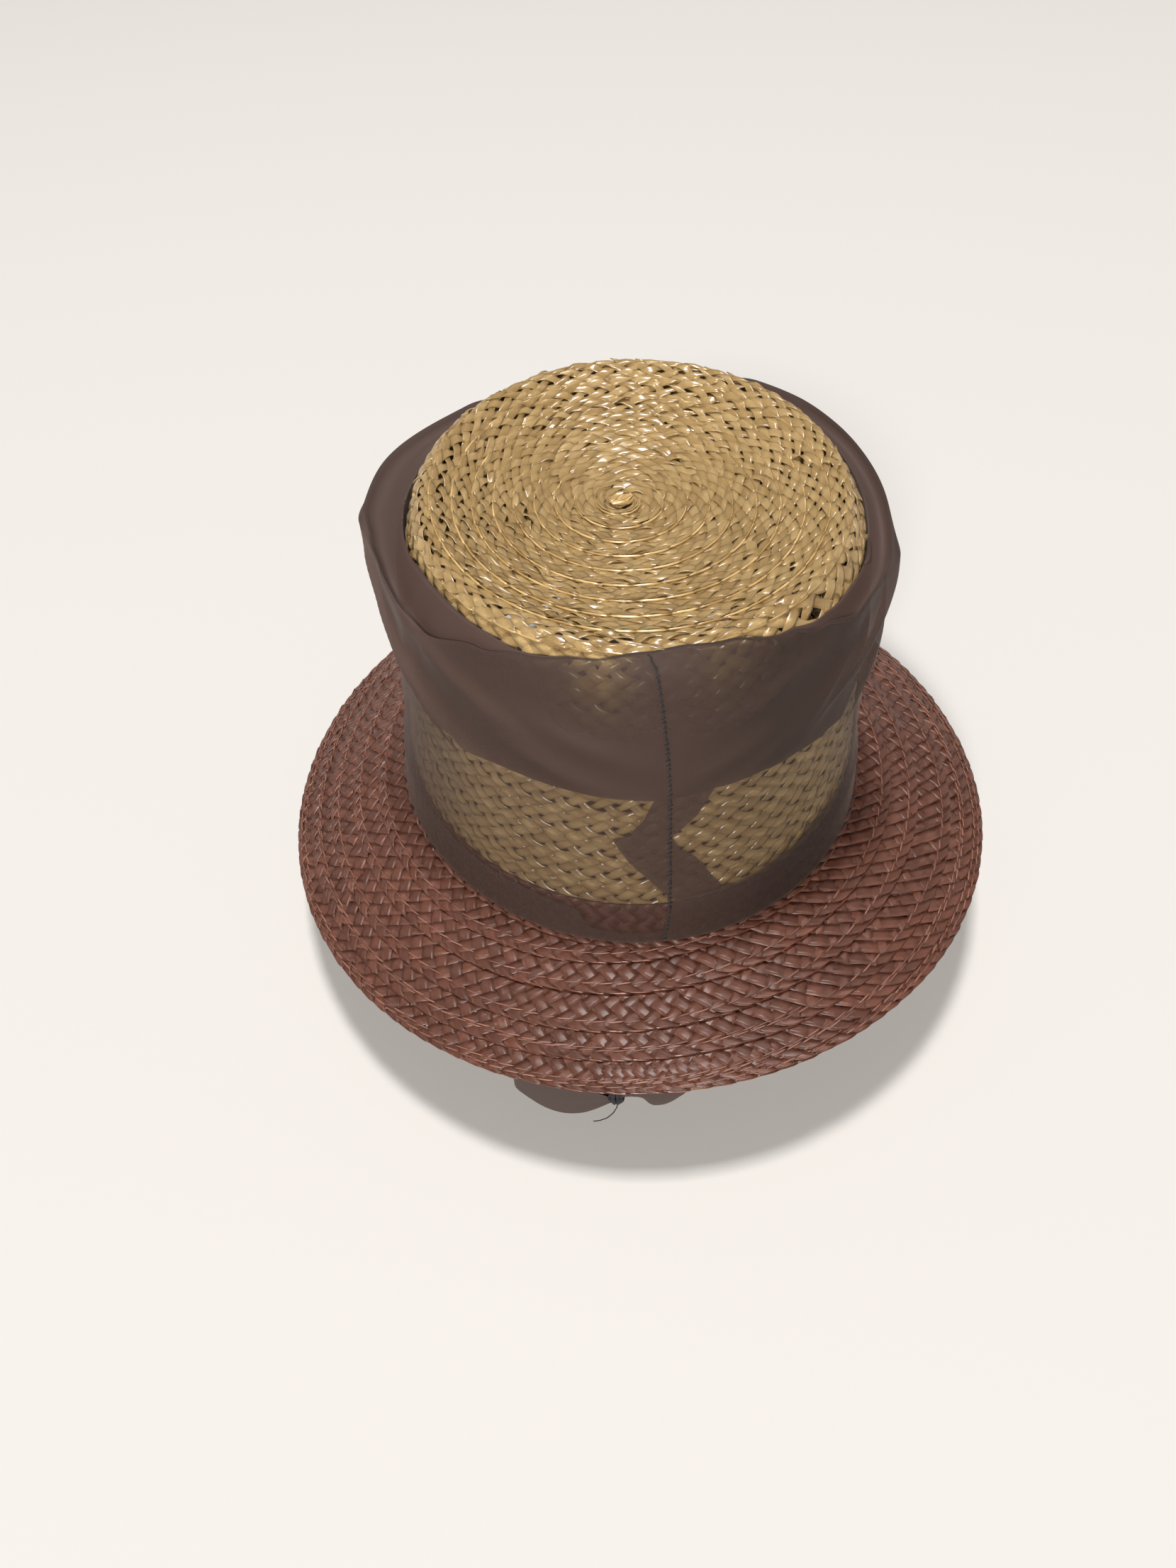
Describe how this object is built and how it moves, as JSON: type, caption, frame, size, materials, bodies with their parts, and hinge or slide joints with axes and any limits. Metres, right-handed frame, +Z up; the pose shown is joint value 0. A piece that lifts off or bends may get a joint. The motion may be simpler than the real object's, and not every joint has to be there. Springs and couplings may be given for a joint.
{
  "type": "lady's straw hat with a chiffon-wrapped crown",
  "caption": "Tall oval straw crown with a sunken tip on a wide drooping straw brim, with a sheer chiffon wrap round the crown and a small ribbon bow under the back.",
  "frame": {"origin": "middle of the head opening, in the plane of the crown's lower edge", "axes": "+Z up along the crown, +Y the way the wearer looks, -Y the seam and the bow at the back"},
  "size_m": [0.2652, 0.2982, 0.1473],
  "materials": {
    "crown_straw": "natural plaited straw braid with a soft gloss",
    "brim_straw": "brown dyed flat straw braid with a satin gloss",
    "chiffon": "sheer brown silk chiffon",
    "ribbon": "brown woven ribbon",
    "thread": "dark navy sewing thread"
  },
  "bodies": {
    "root": {"crown": "crown_straw", "brim": "brim_straw", "chiffon_wrap": "chiffon", "bow_loop_left": "ribbon", "bow_loop_right": "ribbon", "bow_knot": "thread"}
  },
  "joints": []
}
